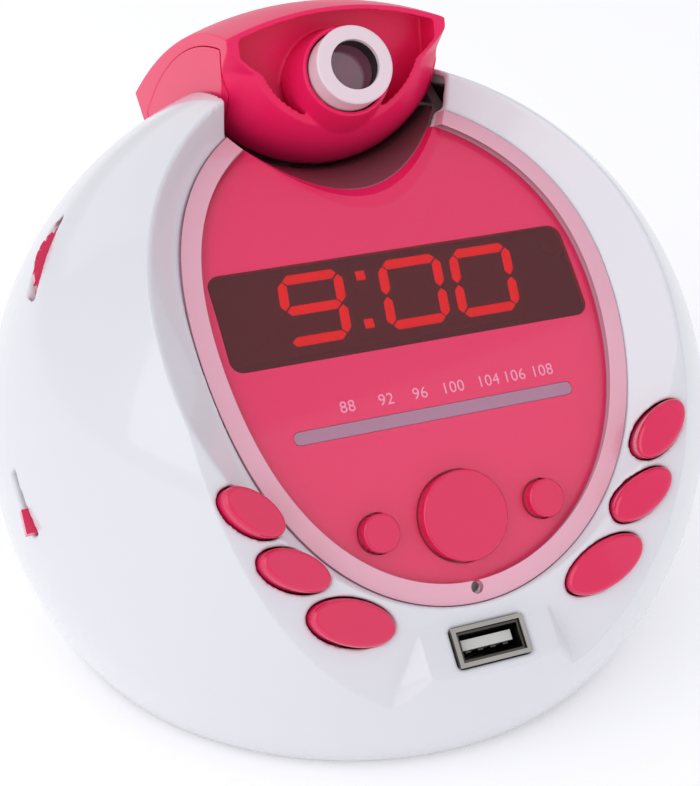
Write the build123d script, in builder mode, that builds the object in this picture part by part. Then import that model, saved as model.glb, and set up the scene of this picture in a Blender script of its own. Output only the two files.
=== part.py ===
from build123d import *
from math import asin, atan2, cos, degrees, hypot, pi, radians, sin, sqrt, tan
import os

# Ball clock, millimetres. The origin is on the shelf under the middle of the ball.
# +Z is up, the display looks towards -Y, and +X is to the viewer's right.
# "Face frame": u runs along +X, v up the leaning face, n out of it, all from the ball's centre.

# ---- ball, stance and shells
ball_radius = 70.0
centre_height = 40.6
shell_wall = 2.4
seam_y = ball_radius - 28.0
foot_height = 1.0
fit_gap = 0.3
glue_gap = 0.1

# ---- leaning face
face_lean = 46.6
face_setback = 24.9
face_radius = 142.0
lens_thickness = 1.5
plate_thickness = 1.2
brow_setback = 17.3
brow_radius = 115.1
brow_shift = 8.7
crater_depth = 12.1
crater_rise = 12.9
crater_growth = 1.6
ring_shape = (45.1, 2.7, 5.1)
print_shape = (41.4, 2.5, 4.9)
outline_points = 24

# ---- display window and tuning scale
window_width = 69.4
window_height = 18.6
window_centre = 8.1
window_corner = 2.4
scale_width = 54.0
scale_height = 2.5
scale_centre = -14.2
pointer_rest = -20.5
pointer_width = 1.4
digit_height = 13.3
digit_width = 12.4
digit_pitch = 14.2
digit_step = 9.7
digit_mid = 9.4
colon_u = -6.2
stroke = 1.7
stroke_gap = 0.25
digit_slant = 6.0
segment_height = 0.2
module_width = 57.0
module_height = 17.0
module_sink = 4.5

# ---- front buttons: name, u, v, radius
round_buttons = {
    "snooze_button": (0.0, -32.8, 8.0),
    "hour_button": (-15.9, -32.8, 3.4),
    "minute_button": (15.9, -32.8, 3.4),
}
round_proud = 1.0
button_gap = 0.3
flange_width = 1.2
flange_thickness = 1.0
edge_round = 0.5
stem_radius = 1.5
switch_gap = 1.1
press_travel = 0.7

# ---- oval keys, one size for each row: u, v, half length, half width, turn
oval_rows = ((38.8, -26.1, 6.2, 3.3, 40.0), (33.2, -36.3, 6.6, 3.3, 28.0), (24.3, -46.2, 8.0, 4.0, 22.0))
left_keys = ("alarm_off_button", "projection_button", "sleep_button")
right_keys = ("play_button", "next_button", "previous_button")
oval_proud = 1.6
oval_tilt = 14.0
oval_depth = 6.0
oval_round = 0.9
tab_length = 4.0
key_board_depth = 15.0
key_board_length = 48.0
key_board_width = 9.0
key_post_radius = 2.0

# ---- USB socket and lamp
usb_v = -54.4
usb_setback = 33.4
usb_width = 12.0
usb_tall = 5.2
usb_depth = 12.0
usb_sheet = 0.4
usb_border = 0.9
usb_lip = 0.6
usb_sleeve = 6.0
tongue_thickness = 1.8
tongue_side = 0.8
contact_width = 1.0
contact_pitch = 2.4
pad_width = 25.0
pad_tall = 13.0
pad_corner = 4.0
pad_drop = 11.0
pad_slope = 40.0
lamp_v = -44.9
lamp_radius = 0.9

# ---- side controls, in the face frame
wheel_radius = 11.0
wheel_thickness = 2.6
wheel_v = 33.5
wheel_n = 22.4
wheel_out = 1.0
wheel_bore = 1.5
wheel_clear = 1.5
wheel_side_gap = 0.5
notch_count = 30
notch_size = 0.8
pot_radius = 5.0
switch_n = 10.9
switch_v_low = -14.2
switch_v_high = -1.9
slider_length = 4.6
slider_width = 3.4
slider_proud = 0.9
slot_width = 2.6
slider_sink = 0.7
slider_base_sink = 7.0
slider_base = 1.5
slider_base_edge = 1.0
switch_body_sink = 16.0
switch_body_length = 17.0

# ---- projector head and its cradle
head_half = 21.6
head_rise = 11.0
head_crown = 4.0
head_sink = 19.4
head_sink_side = 9.9
flare_start = 66.0
flare_radius = 150.0
head_wall = 2.4
head_back = 35.0
head_back_round = 4.0
chin_y = 27.0
chin_radius = 25.6
chin_radius_side = 16.1
tip_lean = 34.0
rim_y = 3.8
rim_sink = 10.9
rim_lip = 0.9
rim_lean = 13.5
bezel_setback = 6.0
bezel_thickness = 1.6
mound_top = 8.4
mound_bottom = 10.0
mound_back = 13.0
ring_out = 4.4
pocket_depth = 1.2
pocket_edge = 2.4
pocket_front = 81.0
pocket_back = 38.0
cradle_gap = 0.7
cradle_wall = 2.0
cradle_front = 104.0
cradle_back = -31.0
cradle_lip = 2.4
rail_sink_inner = 8.5
rail_sink_outer = 5.5
rail_depth = 1.2
rail_front = 58.0
rail_back = 40.0
tilt_forward = 8.0
slot_extra = 1.5
tilt_back = 56.0

# ---- projector optics
lens_y = -0.2
lens_over = 2.4
lens_rise = 33.0
ring_radius = 7.3
ring_opening = 4.65
ring_length = 8.0
ring_lip = 1.0
barrel_radius = 5.8
barrel_wall = 0.9
barrel_length = 17.0
glass_thickness = 2.5
glass_depth = 4.5
lcd_thickness = 2.0
lamp_depth = 6.0
shaft_gap = 0.05

# ---- boards and parts inside
board_thickness = 1.6
dial_board_sink = 15.1
dial_board_half = 36.0
dial_board_top = 28.0
dial_board_neck = -6.0
dial_board_neck_half = 21.0
dial_board_bottom = -42.0
pillar_spots = ((28.0, 24.0), (18.0, -23.0))
pillar_radius = 2.0
guide_length = 60.0
guide_width = 7.0
guide_height = 4.0
guide_wall = 1.0
carriage_length = 6.0
main_board_n = 15.8
main_board_side_gap = 10.0
main_board_low = -18.0
main_board_gap = 0.5
main_board_edge_gap = 8.0
main_post_spots = ((53.0, 4.0), (38.0, 42.0))
main_post_radius = 2.5
chips = ((-18.0, 6.0, 16.0, 12.0, 2.0), (20.0, 10.0, 10.0, 18.0, 3.0), (-30.0, 30.0, 12.0, 9.0, 4.0))
capacitors = ((4.0, -6.0), (12.0, 32.0), (-4.0, 28.0))
capacitor_radius = 4.0
capacitor_height = 9.0
tact_size = 6.0
tact_height = 2.6
plunger_radius = 1.7
plunger_height = 0.9
speaker_y = -16.0
speaker_radius = 20.0
speaker_height = 15.0
speaker_flange = 1.5
speaker_wall = 1.2
magnet_radius = 11.0
magnet_height = 6.0
voice_radius = 6.0
cone_edge = 17.0
grille_radius = 1.1
grille_pitch = 4.0
grille_rings = 4
jack_x = 31.5
jack_z = 12.0
jack_width = 9.0
jack_tall = 11.0
jack_sink = 25.0
jack_length = 10.0
jack_stand = 6.0
jack_barrel = 3.9
jack_radius = 2.8
jack_pin = 1.0
jack_bore = 8.0
battery_length = 44.5
battery_radius = 5.2
battery_wall = 1.2
contact_thickness = 0.8
door_length = 50.0
door_width = 25.0
door_thickness = 1.8
door_y = 24.0
well_height = 13.0
base_thickness = 2.2
foot_radius = 5.0
foot_circle = 44.0
foot_pocket = 0.5
screw_radius = 1.5
screw_length = 7.0
screw_head = 2.6
screw_head_height = 1.2
screw_circle = 48.5
screw_angles = (20.0, 160.0, 200.0, 340.0, 70.0, 110.0)
boss_radius = 3.0
boss_rib = 12.0
boss_height = 8.0

# ---- heights and radii that follow the ball
face_height = ball_radius - face_setback
brow_height = ball_radius - brow_setback
crater_bottom = face_height - crater_depth
crater_top = face_height + crater_rise
module_top = face_height - module_sink
dial_board_n = face_height - dial_board_sink
usb_height = ball_radius - usb_setback
slider_out = ball_radius - slider_sink
slider_base_out = ball_radius - slider_base_sink
switch_body_in = ball_radius - switch_body_sink
head_top = ball_radius + head_rise
head_top_side = head_top - head_crown
head_inner = ball_radius - head_sink
head_inner_side = ball_radius - head_sink_side
pocket_top = head_top_side - pocket_edge
chin_z = ball_radius
rim_z = ball_radius - rim_sink
rail_inner = ball_radius - rail_sink_inner
rail_outer = ball_radius - rail_sink_outer
lens_z = ball_radius + lens_over
main_board_half = ball_radius - main_board_side_gap
main_board_radius = ball_radius - main_board_edge_gap
jack_front = ball_radius - jack_sink

lean = radians(face_lean)
centre = (0.0, 0.0, centre_height)
face_dir = (0.0, -cos(lean), sin(lean))
up_dir = (0.0, sin(lean), cos(lean))
face = Plane(origin=centre, x_dir=(1, 0, 0), z_dir=face_dir)
side = Plane(origin=centre, x_dir=up_dir, z_dir=(1, 0, 0))
profile = Plane(origin=centre, x_dir=(0, 1, 0), z_dir=(1, 0, 0))
tilt_axis = Axis(centre, (1, 0, 0))
far = 3 * ball_radius

os.makedirs("parts", exist_ok=True)


def save(builder, name):
    builder.part.label = name
    export_step(builder.part, f"parts/{name}.step")


def face_n(v):
    # height of the curved face over the ball's centre
    return face_height - face_radius + sqrt(face_radius ** 2 - v ** 2)


def face_point(u, v, n):
    return tuple(c + v * a + n * b + u * x for c, a, b, x in zip(centre, up_dir, face_dir, (1, 0, 0)))


# block and rod standing on a plane's local spot
def block(plane, u, v, n, width, tall, thick):
    with BuildPart() as item:
        with Locations(plane):
            with Locations((u, v, n)):
                Box(width, tall, thick, align=(Align.CENTER, Align.CENTER, Align.MIN))
    return item.part


def rod(plane, u, v, n, radius, length):
    with BuildPart() as item:
        with Locations(plane):
            with Locations((u, v, n)):
                Cylinder(radius, length, align=(Align.CENTER, Align.CENTER, Align.MIN))
    return item.part


def egg_radius(shape, angle, grow=0.0):
    return shape[0] + shape[1] * cos(angle) + shape[2] * cos(2 * angle) + grow


def egg_points(shape, grow=0.0):
    angles = [2 * pi * i / outline_points for i in range(outline_points)]
    return [(egg_radius(shape, a, grow) * sin(a), egg_radius(shape, a, grow) * cos(a)) for a in angles]


def crater_points(height, grow=0.0):
    # the dished band round the lens widens towards the viewer, most of all at the sides
    points = []
    for i in range(outline_points):
        a = 2 * pi * i / outline_points
        edge = egg_radius(ring_shape, a)
        spread = 0.55 + 0.75 * sin(a) ** 2
        radius = edge + grow + (height - face_n(edge * cos(a))) * spread
        points.append((radius * sin(a), radius * cos(a)))
    return points


def closed_outline(points):
    with BuildSketch() as outline:
        with BuildLine():
            Spline(*points, periodic=True)
        make_face()
    return outline.sketch


# solid of everything above the curved face, or above a surface that lies deeper by "sink"
def above_face(sink, radius=face_radius, height=face_height, shift=0.0):
    with BuildPart() as region:
        with BuildSketch(side):
            with Locations((0, far / 2)):
                Rectangle(far, far)
            with Locations((shift, height - radius)):
                Circle(radius - sink, mode=Mode.SUBTRACT)
        extrude(amount=far, both=True)
    return region.part


# sheet with the given outline that follows the curved face, between two depths below it
def face_sheet(outline, outer_sink, inner_sink):
    with BuildPart() as sheet:
        with BuildSketch(face):
            add(outline)
        extrude(amount=far / 2)
        add(above_face(inner_sink), mode=Mode.INTERSECT)
        add(above_face(outer_sink), mode=Mode.SUBTRACT)
    return sheet.part


def window_outline(grow=0.0):
    with BuildSketch() as outline:
        with Locations((0, window_centre)):
            RectangleRounded(window_width + 2 * grow, window_height + 2 * grow, window_corner)
    return outline.sketch


def scale_outline(grow=0.0):
    with BuildSketch() as outline:
        with Locations((0, scale_centre)):
            SlotOverall(scale_width + 2 * grow, scale_height + 2 * grow)
    return outline.sketch


# closed outer form of the ball; "inset" gives the hollow inside it
def ball_form(inset):
    with BuildPart() as crater:
        with BuildSketch(face.offset(crater_bottom - inset * 2)):
            add(closed_outline(crater_points(crater_bottom - inset * 2, inset * crater_growth)))
        with BuildSketch(face.offset(crater_top)):
            add(closed_outline(crater_points(crater_top, inset * crater_growth)))
        loft(ruled=True)
        add(above_face(lens_thickness + inset), mode=Mode.INTERSECT)
    with BuildPart() as form:
        with Locations(centre):
            Sphere(ball_radius - inset)
        add(above_face(inset, brow_radius, brow_height, brow_shift), mode=Mode.SUBTRACT)
        add(crater.part, mode=Mode.SUBTRACT)
        with Locations((0, 0, foot_height - far / 2)):
            Box(far, far, far, mode=Mode.SUBTRACT)
    return form.part


# half section of the head's channel: floor arc, side walls, open at the top
def channel_sketch(half, inner, inner_side, top, top_side=None):
    with BuildSketch(Plane(origin=centre, x_dir=(1, 0, 0), z_dir=(0, -1, 0))) as section:
        with BuildLine():
            ThreePointArc((-half, inner_side), (0, inner), (half, inner_side))
            Line((half, inner_side), (half, top_side or top))
            if top_side:
                ThreePointArc((half, top_side), (0, top), (-half, top_side))
            else:
                Line((half, top), (-half, top))
            Line((-half, top_side or top), (-half, inner_side))
        make_face()
    return section.sketch


# turns a channel section about the ball's X axis, from one angle above the back to another
def channel_sweep(section, start, stop):
    with BuildPart() as ring:
        add(section)
        revolve(axis=tilt_axis, revolution_arc=stop - start)
    return ring.part.rotate(tilt_axis, start - 90.0)


def polar(radius, angle):
    return (radius * cos(radians(angle)), radius * sin(radians(angle)))


# rectangular ring section between two distances from the tilt axis
def band_section(x_low, x_high, r_low, r_high):
    with BuildSketch(Plane(origin=centre, x_dir=(1, 0, 0), z_dir=(0, -1, 0))) as section:
        with Locations(((x_low + x_high) / 2, (r_low + r_high) / 2)):
            Rectangle(x_high - x_low, r_high - r_low)
    return section.sketch


channel_half = head_half + cradle_gap
channel_floor = head_inner - cradle_gap
channel_floor_side = head_inner_side - cradle_gap
cradle_half = channel_half + cradle_wall
cradle_top = ball_radius - cradle_lip

channel = channel_sweep(channel_sketch(channel_half, channel_floor, channel_floor_side, far / 2),
                        cradle_back, cradle_front)
cradle_seat = channel_sweep(channel_sketch(cradle_half + glue_gap, channel_floor - cradle_wall - glue_gap,
                                           channel_floor_side - cradle_wall - glue_gap, cradle_top + glue_gap),
                            cradle_back - 2, cradle_front)
ring_outline = closed_outline(egg_points(ring_shape, -glue_gap))
print_outline = closed_outline(egg_points(print_shape))
ledge_outline = closed_outline(egg_points(print_shape, glue_gap))

# level pad that carries the USB socket, with sloping flanks
with BuildPart() as usb_pad:
    with BuildSketch(face.offset(usb_height)):
        with Locations((0, usb_v)):
            RectangleRounded(pad_width, pad_tall, pad_corner)
    extrude(amount=-pad_drop, taper=-pad_slope)
    with Locations(centre):
        Sphere(ball_radius, mode=Mode.INTERSECT)

outer_form = ball_form(0) + usb_pad.part
inner_form = ball_form(shell_wall)
skin_form = ball_form(shell_wall / 2)


# ---- key places: a plane on the brow for each oval key, leaning in towards the lens
def key_plane(u, v, turn):
    bend = asin((v - brow_shift) / brow_radius)
    n = brow_height - brow_radius + brow_radius * cos(bend)
    inward = tan_tilt / hypot(u, v)
    normal = Vector(-u * inward, 0, 0)
    normal += Vector(*up_dir) * (sin(bend) - v * inward) + Vector(*face_dir) * cos(bend)
    along = Vector(cos(radians(turn)), 0, 0) + Vector(*up_dir) * sin(radians(turn))
    normal = normal.normalized()
    along = along - normal * along.dot(normal)
    return Plane(origin=face_point(u, v, n), x_dir=along, z_dir=normal)


tan_tilt = sin(radians(oval_tilt)) / cos(radians(oval_tilt))
keys = {}
for row, (u, v, half_length, half_width, turn) in enumerate(oval_rows):
    keys[left_keys[row]] = (key_plane(-u, v, -turn), half_length, half_width)
    keys[right_keys[row]] = (key_plane(u, v, turn), half_length, half_width)


# board plane below the three keys of one side
def key_board_plane(names):
    first, middle, last = (keys[name][0] for name in names)
    along = (last.origin - first.origin).normalized()
    normal = (first.z_dir + middle.z_dir + last.z_dir).normalized()
    normal = (normal - along * normal.dot(along)).normalized()
    midpoint = (first.origin + last.origin) * 0.5
    return Plane(origin=midpoint - normal * key_board_depth, x_dir=along, z_dir=normal)


key_boards = {"left_key_board": key_board_plane(left_keys), "right_key_board": key_board_plane(right_keys)}
key_board_half = key_board_length / 2 - key_post_radius - fit_gap


# cylinder along a plane's normal that ends inside the shell's skin
def skin_post(plane, radius):
    with BuildPart() as post:
        with BuildSketch(plane):
            Circle(radius)
        extrude(amount=ball_radius)
        add(skin_form, mode=Mode.INTERSECT)
    return post.part.solids().sort_by(lambda s: (s.center() - plane.origin).length)[0]


# rounded body of an oval key between two depths, and the tabs that keep it in the shell
def oval_prism(plane, half_length, half_width, top, bottom):
    with BuildPart() as item:
        with BuildSketch(plane.offset(bottom)):
            Ellipse(half_length, half_width)
        extrude(amount=top - bottom)
    return item.part


def key_tabs(plane, half_width, grow, thick):
    tall = 2 * (half_width + button_gap + flange_width + grow)
    return block(plane, 0, 0, grow - oval_depth - thick, tab_length + 2 * grow, tall, thick)


# plane on the curved face for a round button
def round_plane(u, v):
    bend = asin(v / face_radius)
    normal = Vector(*up_dir) * sin(bend) + Vector(*face_dir) * cos(bend)
    return Plane(origin=face_point(u, v, face_n(v)), x_dir=(1, 0, 0), z_dir=normal)


rounds = {name: (round_plane(u, v), radius) for name, (u, v, radius) in round_buttons.items()}

# ---- side controls, mirrored left and right
ball_at_wheel = sqrt(ball_radius ** 2 - wheel_n ** 2)
wheel_turn = asin(wheel_v / ball_at_wheel)
wheel_reach = ball_at_wheel + wheel_out - wheel_radius
wheel_u = wheel_reach * cos(wheel_turn)
wheel_mid_v = wheel_reach * sin(wheel_turn)
wheel_low = wheel_n - wheel_thickness / 2
switch_rest_v = switch_v_low + slider_length / 2 + fit_gap
switch_mid_v = (switch_v_low + switch_v_high) / 2
main_top = main_board_n + board_thickness
main_board_high = sqrt((channel_floor - cradle_wall - main_board_gap) ** 2 - main_top ** 2)
dial_top = dial_board_n + board_thickness
plate_sink = lens_thickness + glue_gap
base_top = foot_height + base_thickness
base_radius = sqrt((ball_radius - shell_wall) ** 2 - (centre_height - foot_height) ** 2) - fit_gap
base_screws = [(*polar(screw_circle, a), a) for a in screw_angles]
usb_plane = Plane(origin=face_point(0, usb_v, usb_height), x_dir=(1, 0, 0), z_dir=face_dir)
usb_outer = usb_width + 2 * usb_border
usb_outer_tall = usb_tall + 2 * usb_border
lamp_plane = round_plane(0, lamp_v)
jack_plane = Plane(origin=(jack_x, jack_front, jack_z), x_dir=(1, 0, 0), z_dir=(0, 1, 0))

# screw bosses with a rib to the shell's wall
with BuildPart() as bosses:
    for x, y, angle in base_screws:
        with BuildSketch(Plane((x, y, base_top), x_dir=(*polar(1, angle), 0), z_dir=(0, 0, 1))):
            Circle(boss_radius)
            Rectangle(boss_rib, boss_radius, align=(Align.MIN, Align.CENTER))
        extrude(amount=boss_height)
    add(skin_form, mode=Mode.INTERSECT)
    for x, y, angle in base_screws:
        add(rod(Plane.XY, x, y, 0, screw_radius, base_top + screw_length), mode=Mode.SUBTRACT)

# the cradle's seat stays under the shell's outer skin
with BuildPart() as seat:
    add(cradle_seat)
    add(ball_form(shell_wall / 2 - glue_gap), mode=Mode.INTERSECT)

# ---- front shell: the ball from the seam forwards, with the lens ledge, key holes and posts
with BuildPart() as front_shell:
    add(outer_form)
    add(inner_form, mode=Mode.SUBTRACT)
    add(face_sheet(ledge_outline, 0, shell_wall * 3), mode=Mode.SUBTRACT)
    add(face_sheet(closed_outline(egg_points(ring_shape)), 0, lens_thickness), mode=Mode.SUBTRACT)
    add(bosses.part)
    for plane in key_boards.values():
        for end in (-1, 1):
            spot = Plane(plane.from_local_coords(Vector(end * key_board_half, 0, board_thickness)),
                         x_dir=plane.x_dir, z_dir=plane.z_dir)
            add(skin_post(spot, key_post_radius))
    for u, v in main_post_spots:
        for hand in (-1, 1):
            add(skin_post(Plane(face_point(hand * u, v, main_top), x_dir=(1, 0, 0), z_dir=face_dir),
                          main_post_radius))
    with Locations((0, seam_y + far / 2, 0)):
        Box(far, far, 2 * far, mode=Mode.SUBTRACT)
    add(channel, mode=Mode.SUBTRACT)
    add(seat.part, mode=Mode.SUBTRACT)
    for plane, half_length, half_width in keys.values():
        add(oval_prism(plane, half_length + button_gap, half_width + button_gap, far / 10, -key_board_depth / 2),
            mode=Mode.SUBTRACT)
        add(key_tabs(plane, half_width, button_gap, key_board_depth / 3), mode=Mode.SUBTRACT)
    for hand in (-1, 1):
        add(rod(face, hand * wheel_u, wheel_mid_v, wheel_low - wheel_side_gap, wheel_radius + wheel_clear,
                wheel_thickness + 2 * wheel_side_gap), mode=Mode.SUBTRACT)
        add(block(face, hand * ball_radius, switch_mid_v, switch_n - slot_width / 2,
                  2 * (ball_radius - slider_base_out), switch_v_high - switch_v_low, slot_width),
            mode=Mode.SUBTRACT)
    add(block(usb_plane, 0, 0, -ball_radius / 4, usb_outer + 2 * glue_gap, usb_outer_tall + 2 * glue_gap,
              ball_radius / 2), mode=Mode.SUBTRACT)
    add(rod(lamp_plane, 0, 0, -shell_wall * 3, lamp_radius + glue_gap, shell_wall * 3), mode=Mode.SUBTRACT)
save(front_shell, "front_shell")

# ---- rear cover: the ball behind the seam, with the hole for the power socket
with BuildPart() as rear_cover:
    add(outer_form)
    add(inner_form, mode=Mode.SUBTRACT)
    add(bosses.part)
    with Locations((0, seam_y + glue_gap - far / 2, 0)):
        Box(far, far, 2 * far, mode=Mode.SUBTRACT)
    add(channel, mode=Mode.SUBTRACT)
    add(seat.part, mode=Mode.SUBTRACT)
    add(rod(jack_plane, 0, 0, 0, jack_barrel + fit_gap, ball_radius), mode=Mode.SUBTRACT)
save(rear_cover, "rear_cover")

# ---- cradle: the glossy channel that the projector swings in
rail_slot = channel_sweep(band_section(channel_half - glue_gap, channel_half + rail_depth, rail_inner - fit_gap,
                                       rail_outer + fit_gap),
                          rail_back - tilt_back - slot_extra, rail_front + tilt_forward + slot_extra)

with BuildPart() as projector_cradle:
    add(channel_sweep(channel_sketch(cradle_half, channel_floor - cradle_wall, channel_floor_side - cradle_wall,
                                     cradle_top), cradle_back - cradle_wall + glue_gap, cradle_front))
    add(skin_form, mode=Mode.INTERSECT)
    add(above_face(plate_sink + plate_thickness + glue_gap), mode=Mode.SUBTRACT)
    add(channel, mode=Mode.SUBTRACT)
    add(rail_slot, mode=Mode.SUBTRACT)
    add(mirror(rail_slot, about=Plane.YZ), mode=Mode.SUBTRACT)
save(projector_cradle, "projector_cradle")

# ---- clear lens over the whole face, with holes for the three round buttons
with BuildPart() as clear_lens:
    add(face_sheet(ring_outline, 0, lens_thickness))
    add(channel, mode=Mode.SUBTRACT)
    for plane, radius in rounds.values():
        add(rod(plane, 0, 0, -far / 10, radius + button_gap, far / 5), mode=Mode.SUBTRACT)
save(clear_lens, "clear_lens")

# ---- printed dial plate behind it, with pillars for the dial board
with BuildPart() as dial_plate:
    add(face_sheet(print_outline, plate_sink, plate_sink + plate_thickness))
    add(channel, mode=Mode.SUBTRACT)
    for outline in (window_outline(), scale_outline()):
        add(face_sheet(outline, 0, far / 10), mode=Mode.SUBTRACT)
    for plane, radius in rounds.values():
        add(rod(plane, 0, 0, -far / 10, radius + button_gap, far / 5), mode=Mode.SUBTRACT)
    add(rod(lamp_plane, 0, 0, -shell_wall * 3, lamp_radius + glue_gap, shell_wall * 3), mode=Mode.SUBTRACT)
    for u, v in pillar_spots:
        for hand in (-1, 1):
            top = face_n(v) - plate_sink - plate_thickness / 2
            add(rod(face, hand * u, v, dial_top, pillar_radius, top - dial_top))
save(dial_plate, "dial_plate")

with BuildPart() as display_window:
    add(face_sheet(window_outline(-glue_gap), plate_sink, plate_sink + plate_thickness))
save(display_window, "display_window")

with BuildPart() as dial_window:
    add(face_sheet(scale_outline(-glue_gap), plate_sink, plate_sink + plate_thickness))
save(dial_window, "dial_window")

# ---- board behind the dial: the LED module and the round buttons' switches sit on it
with BuildPart() as dial_board:
    add(block(face, 0, (dial_board_neck + dial_board_top) / 2, dial_board_n, 2 * dial_board_half,
              dial_board_top - dial_board_neck, board_thickness))
    add(block(face, 0, (dial_board_bottom + dial_board_neck) / 2, dial_board_n, 2 * dial_board_neck_half,
              dial_board_neck - dial_board_bottom, board_thickness))
    for u, v in pillar_spots:
        for hand in (-1, 1):
            add(rod(face, hand * u, v, dial_board_n, screw_radius, board_thickness), mode=Mode.SUBTRACT)
save(dial_board, "dial_board")

with BuildPart() as led_display:
    add(block(face, colon_u, digit_mid, dial_top, module_width, module_height, module_top - dial_top))
save(led_display, "led_display")


# one bar of a digit, pointed at both ends, leaning with the digit
def segment(start, end):
    along = (Vector(*end, 0) - Vector(*start, 0)).normalized()
    aside = Vector(-along.Y, along.X, 0) * (stroke / 2)
    first = Vector(*start, 0) + along * stroke_gap
    last = Vector(*end, 0) - along * stroke_gap
    tip = along * (stroke / 2)
    corners = [first, first + tip + aside, last - tip + aside, last, last - tip - aside, first + tip - aside]
    with BuildSketch() as bar:
        with BuildLine():
            Polyline(*[(p.X + (p.Y - digit_mid) * tan(radians(digit_slant)), p.Y) for p in corners], close=True)
        make_face()
    return bar.sketch


half_wide = (digit_width - stroke) / 2
half_tall = (digit_height - stroke) / 2
bars = {
    "top": ((-half_wide, half_tall), (half_wide, half_tall)),
    "middle": ((-half_wide, 0), (half_wide, 0)),
    "bottom": ((-half_wide, -half_tall), (half_wide, -half_tall)),
    "left_top": ((-half_wide, 0), (-half_wide, half_tall)),
    "left_bottom": ((-half_wide, -half_tall), (-half_wide, 0)),
    "right_top": ((half_wide, 0), (half_wide, half_tall)),
    "right_bottom": ((half_wide, -half_tall), (half_wide, 0)),
}
zero = [name for name in bars if name != "middle"]
nine = [name for name in bars if name != "left_bottom"]
shown = ((colon_u - digit_step, nine), (colon_u + digit_step, zero), (colon_u + digit_step + digit_pitch, zero))

with BuildPart() as lit_segments:
    with BuildSketch(face.offset(module_top)):
        for u, names in shown:
            for name in names:
                add(segment(*[(u + x, digit_mid + y) for x, y in bars[name]]))
        with Locations(*[(colon_u + y * tan(radians(digit_slant)), digit_mid + y)
                         for y in (-half_tall / 2 - stroke, half_tall / 2 + stroke)]):
            Rectangle(stroke, stroke)
    extrude(amount=segment_height)
save(lit_segments, "lit_segments")

# ---- tuning scale: a pointer that slides in a guide on the dial board
with BuildPart() as pointer_guide:
    add(block(face, 0, scale_centre, dial_top, guide_length, guide_width, guide_height))
    add(block(face, 0, scale_centre, dial_top + guide_wall, guide_length - 2 * guide_wall,
              guide_width - 2 * guide_wall, guide_height), mode=Mode.SUBTRACT)
save(pointer_guide, "pointer_guide")

pointer_low = dial_top + guide_wall + fit_gap
pointer_top = face_n(scale_centre) - plate_sink - plate_thickness - 2 * fit_gap
with BuildPart() as dial_pointer:
    add(block(face, pointer_rest, scale_centre, pointer_low, carriage_length,
              guide_width - 2 * guide_wall - 2 * fit_gap, guide_height - guide_wall))
    add(block(face, pointer_rest, scale_centre, pointer_low, pointer_width, scale_height,
              pointer_top - pointer_low))
save(dial_pointer, "dial_pointer")


# where an axis through a plane's origin meets a board's top, measured along the axis
def drop_to(plane, board_plane):
    return (plane.origin - board_plane.origin).dot(board_plane.z_dir) / plane.z_dir.dot(board_plane.z_dir)


dial_top_plane = face.offset(dial_top)
stem_room = tact_height + plunger_height + switch_gap
switch_spots = []

# ---- round buttons: cap through the lens, flange under the plate, stem towards the switch
for name, (plane, radius) in rounds.items():
    under = plate_sink + plate_thickness + fit_gap
    drop = drop_to(plane, dial_top_plane)
    switch_spots.append((plane, drop, dial_top_plane))
    with BuildPart() as button:
        add(rod(plane, 0, 0, -under, radius, under + round_proud))
        fillet(button.edges().group_by(Axis(plane.origin, plane.z_dir))[-1], edge_round)
        add(rod(plane, 0, 0, -under - flange_thickness, radius + flange_width, flange_thickness))
        add(rod(plane, 0, 0, stem_room - drop, stem_radius, drop - stem_room - under))
    save(button, name)

# ---- oval keys with their boards
board_planes = {}
for board_name, plane in key_boards.items():
    top_plane = plane.offset(board_thickness)
    names = left_keys if board_name == "left_key_board" else right_keys
    for name in names:
        board_planes[name] = top_plane
    with BuildPart() as key_board:
        add(block(plane, 0, 0, 0, key_board_length, key_board_width, board_thickness))
        for end in (-1, 1):
            add(rod(plane, end * key_board_half, 0, 0, screw_radius, board_thickness), mode=Mode.SUBTRACT)
    save(key_board, board_name)

for name, (plane, half_length, half_width) in keys.items():
    drop = drop_to(plane, board_planes[name])
    switch_spots.append((plane, drop, board_planes[name]))
    with BuildPart() as key:
        add(oval_prism(plane, half_length, half_width, oval_proud, -oval_depth))
        fillet(key.edges().group_by(Axis(plane.origin, plane.z_dir))[-1], oval_round)
        add(key_tabs(plane, half_width, 0, flange_thickness))
        add(rod(plane, 0, 0, stem_room - drop, stem_radius, drop - stem_room - oval_depth))
    save(key, name)

with BuildPart() as tact_switches:
    for plane, drop, board_plane in switch_spots:
        foot = plane.origin - plane.z_dir * drop
        seat_plane = Plane(foot, x_dir=board_plane.x_dir, z_dir=board_plane.z_dir)
        add(block(seat_plane, 0, 0, 0, tact_size, tact_size, tact_height))
        add(rod(seat_plane, 0, 0, tact_height, plunger_radius, plunger_height))
save(tact_switches, "tact_switches")

# ---- USB socket: frame, metal shell, tongue and contacts
with BuildPart() as usb_surround:
    add(block(usb_plane, 0, 0, -usb_sleeve, usb_outer, usb_outer_tall, usb_sleeve + usb_lip))
    add(block(usb_plane, 0, 0, -far / 10, usb_width + 2 * glue_gap, usb_tall + 2 * glue_gap, far / 5),
        mode=Mode.SUBTRACT)
save(usb_surround, "usb_surround")

with BuildPart() as usb_shell:
    add(block(usb_plane, 0, 0, -usb_depth, usb_width, usb_tall, usb_depth))
    add(block(usb_plane, 0, 0, usb_sheet - usb_depth, usb_width - 2 * usb_sheet, usb_tall - 2 * usb_sheet,
              usb_depth), mode=Mode.SUBTRACT)
save(usb_shell, "usb_shell")

tongue_v = usb_tall / 2 - usb_sheet - tongue_side - tongue_thickness / 2
tongue_length = usb_depth - usb_sheet - 2 * tongue_side
with BuildPart() as usb_tongue:
    add(block(usb_plane, 0, tongue_v, usb_sheet - usb_depth, usb_width - 2 * usb_sheet - 2 * tongue_side,
              tongue_thickness, tongue_length))
save(usb_tongue, "usb_tongue")

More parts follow.
